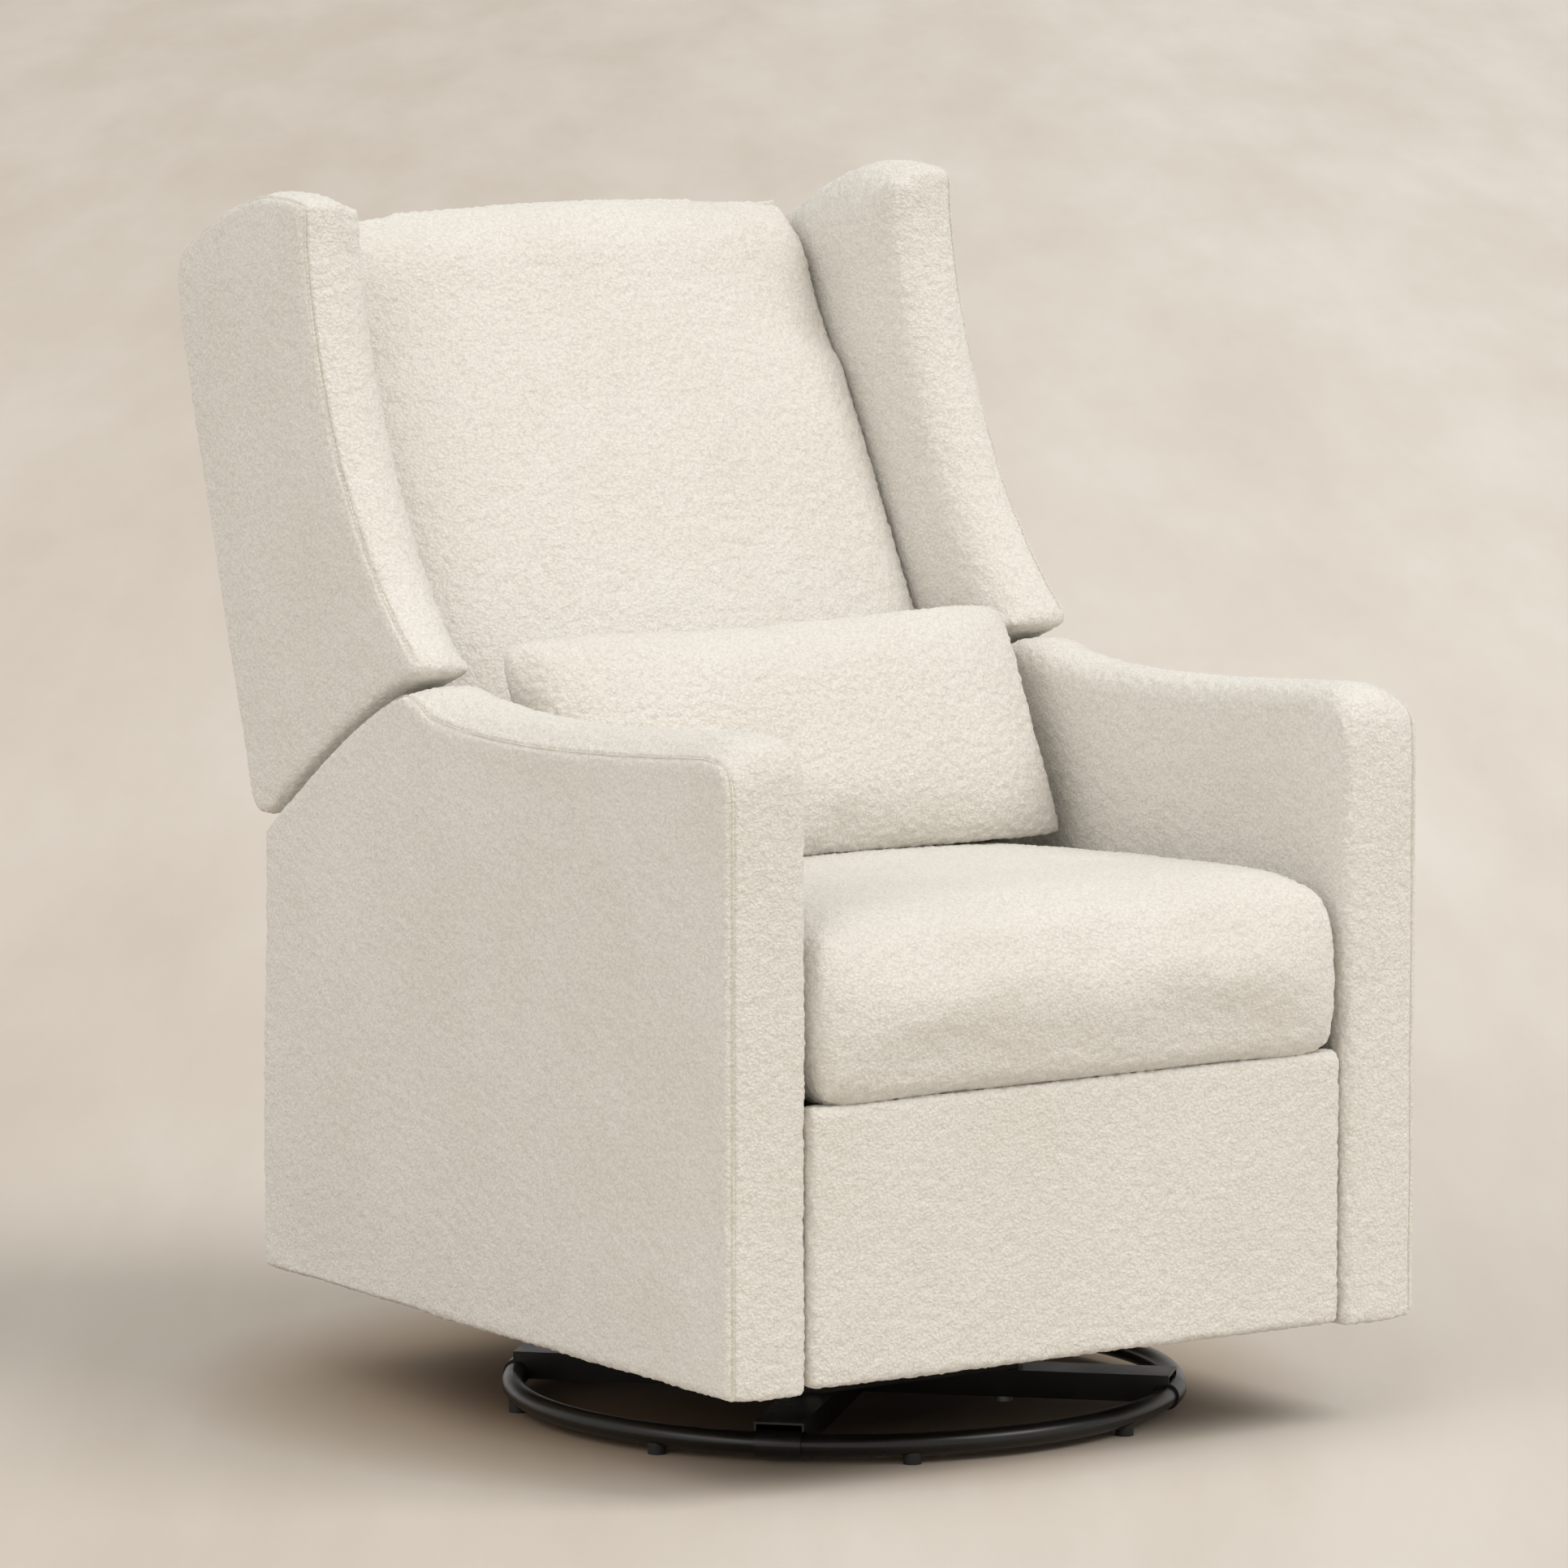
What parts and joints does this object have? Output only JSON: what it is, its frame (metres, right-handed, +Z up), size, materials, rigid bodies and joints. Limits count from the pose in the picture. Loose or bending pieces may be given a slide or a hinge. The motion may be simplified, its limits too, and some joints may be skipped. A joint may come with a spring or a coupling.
{
  "type": "glider nursery chair",
  "caption": "Upholstered wing-back glider recliner that swivels on a tubular ring base, with a sliding seat, a folding footrest and a loose lumbar pillow.",
  "frame": {"origin": "on the floor at the swivel axis", "axes": "+Z up, the sitter faces -Y, +X to the sitter's left"},
  "size_m": [0.72, 0.9384, 1.056],
  "materials": {
    "boucle": "matte",
    "pillow_boucle": "matte",
    "black_steel": "satin",
    "zinc_steel": "satin",
    "timber": "matte",
    "black_plastic": "matte",
    "button_plastic": "satin",
    "pad_rubber": "matte"
  },
  "bodies": {
    "base": {"base_ring": "black_steel", "ring_sleeves": "black_steel", "cross_arms": "black_steel", "foot_pads": "pad_rubber", "arm_bolts": "black_steel", "swivel_lower_plate": "black_steel", "bearing_lower_race": "zinc_steel", "bearing_balls": "zinc_steel", "swivel_spindle": "zinc_steel", "spindle_nut": "zinc_steel"},
    "swivel": {"bearing_upper_race": "zinc_steel", "swivel_upper_plate": "black_steel", "lower_rails": "black_steel", "glide_stand_left": "black_steel", "glide_stand_right": "black_steel", "stand_bolts": "zinc_steel", "glide_upper_pins": "zinc_steel"},
    "front_links": {"front_glide_links": "zinc_steel"},
    "rear_links": {"rear_glide_links": "zinc_steel"},
    "chassis": {"glide_lower_pins": "zinc_steel", "glide_rail_left": "black_steel", "glide_rail_right": "black_steel", "chassis_tubes": "black_steel", "arm_frame_left": "timber", "arm_frame_right": "timber", "arm_left": "boucle", "arm_right": "boucle", "rear_panel": "boucle", "recliner_plate_left": "black_steel", "recliner_plate_right": "black_steel", "recliner_pins": "zinc_steel", "actuator_motor": "black_plastic", "actuator_tube": "black_steel", "control_bezel": "black_plastic", "usb_port": "zinc_steel", "power_inlet": "black_plastic"},
    "seat": {"seat_side_rails": "black_steel", "seat_cross_rails": "timber", "seat_springs": "zinc_steel", "seat_cushion": "boucle", "actuator_rod": "zinc_steel"},
    "back": {"back_frame": "timber", "back_brackets": "black_steel", "back_springs": "zinc_steel", "wing_boards": "timber", "back_cushion": "boucle", "wing_left": "boucle", "wing_right": "boucle", "outside_back": "boucle"},
    "footrest_drive": {"footrest_drive_links": "black_steel", "footrest_tube": "black_steel", "elbow_pins": "zinc_steel"},
    "footrest_mid": {"footrest_mid_links": "black_steel"},
    "footrest": {"footrest_brackets": "black_steel", "footrest_pins": "zinc_steel", "footrest_board": "timber", "footrest_pad": "boucle"},
    "pillow": {"lumbar_pillow": "pillow_boucle"},
    "recline_key": {"recline_button": "button_plastic"},
    "return_key": {"return_button": "button_plastic"}
  },
  "joints": [
    {"name": "swivel_turn", "type": "hinge", "parent": "base", "child": "swivel", "pos_m": [0, 0, 0.05], "axis": [0, 0, 1], "continuous": true},
    {"name": "glide_swing", "type": "hinge", "parent": "swivel", "child": "front_links", "pos_m": [0, -0.125, 0.28], "axis": [1, 0, 0], "range_deg": [-18, 18]},
    {"name": "glide_swing_rear", "type": "hinge", "parent": "swivel", "child": "rear_links", "pos_m": [0, 0.125, 0.28], "axis": [1, 0, 0], "range_deg": [-18.1, 18.1]},
    {"name": "glide_level", "type": "hinge", "parent": "front_links", "child": "chassis", "pos_m": [0, -0.125, 0.125], "axis": [1, 0, 0], "range_deg": [-18.1, 18.1]},
    {"name": "back_recline", "type": "hinge", "parent": "chassis", "child": "back", "pos_m": [0, 0.3, 0.34], "axis": [-1, 0, 0], "range_deg": [0, 33]},
    {"name": "seat_slide", "type": "slide", "parent": "chassis", "child": "seat", "axis": [0, -1, 0], "range_m": [0, 0.0401]},
    {"name": "footrest_raise", "type": "hinge", "parent": "chassis", "child": "footrest_drive", "pos_m": [0, -0.23, 0.298], "axis": [-1, 0, 0], "range_deg": [0, 104]},
    {"name": "footrest_unfold", "type": "hinge", "parent": "footrest_drive", "child": "footrest_mid", "pos_m": [0, -0.1805, 0.1354], "axis": [1, 0, 0], "range_deg": [0, 117.1]},
    {"name": "footrest_tilt", "type": "hinge", "parent": "footrest_mid", "child": "footrest", "pos_m": [0, -0.306, 0.25], "axis": [-1, 0, 0], "range_deg": [0, 99.3]},
    {"name": "pillow_lift", "type": "slide", "parent": "back", "child": "pillow", "axis": [0, 0.4384, 0.8988], "range_m": [0, 0.25]},
    {"name": "recline_press", "type": "slide", "parent": "chassis", "child": "recline_key", "axis": [-1, 0, 0], "range_m": [0, 0.002], "stiffness_N_per_m": 400, "springref_m": -0.002},
    {"name": "return_press", "type": "slide", "parent": "chassis", "child": "return_key", "axis": [-1, 0, 0], "range_m": [0, 0.002], "stiffness_N_per_m": 400, "springref_m": -0.002}
  ],
  "couplings": [
    {"joint": "glide_swing_rear", "follows": "glide_swing", "ratio": 1},
    {"joint": "glide_level", "follows": "glide_swing", "ratio": -1},
    {"joint": "seat_slide", "follows": "back_recline", "m_per_rad": 0.069449},
    {"joint": "footrest_raise", "follows": "back_recline", "ratio": 3.1455},
    {"joint": "footrest_unfold", "follows": "back_recline", "ratio": 3.5424},
    {"joint": "footrest_tilt", "follows": "back_recline", "ratio": 3.003}
  ]
}
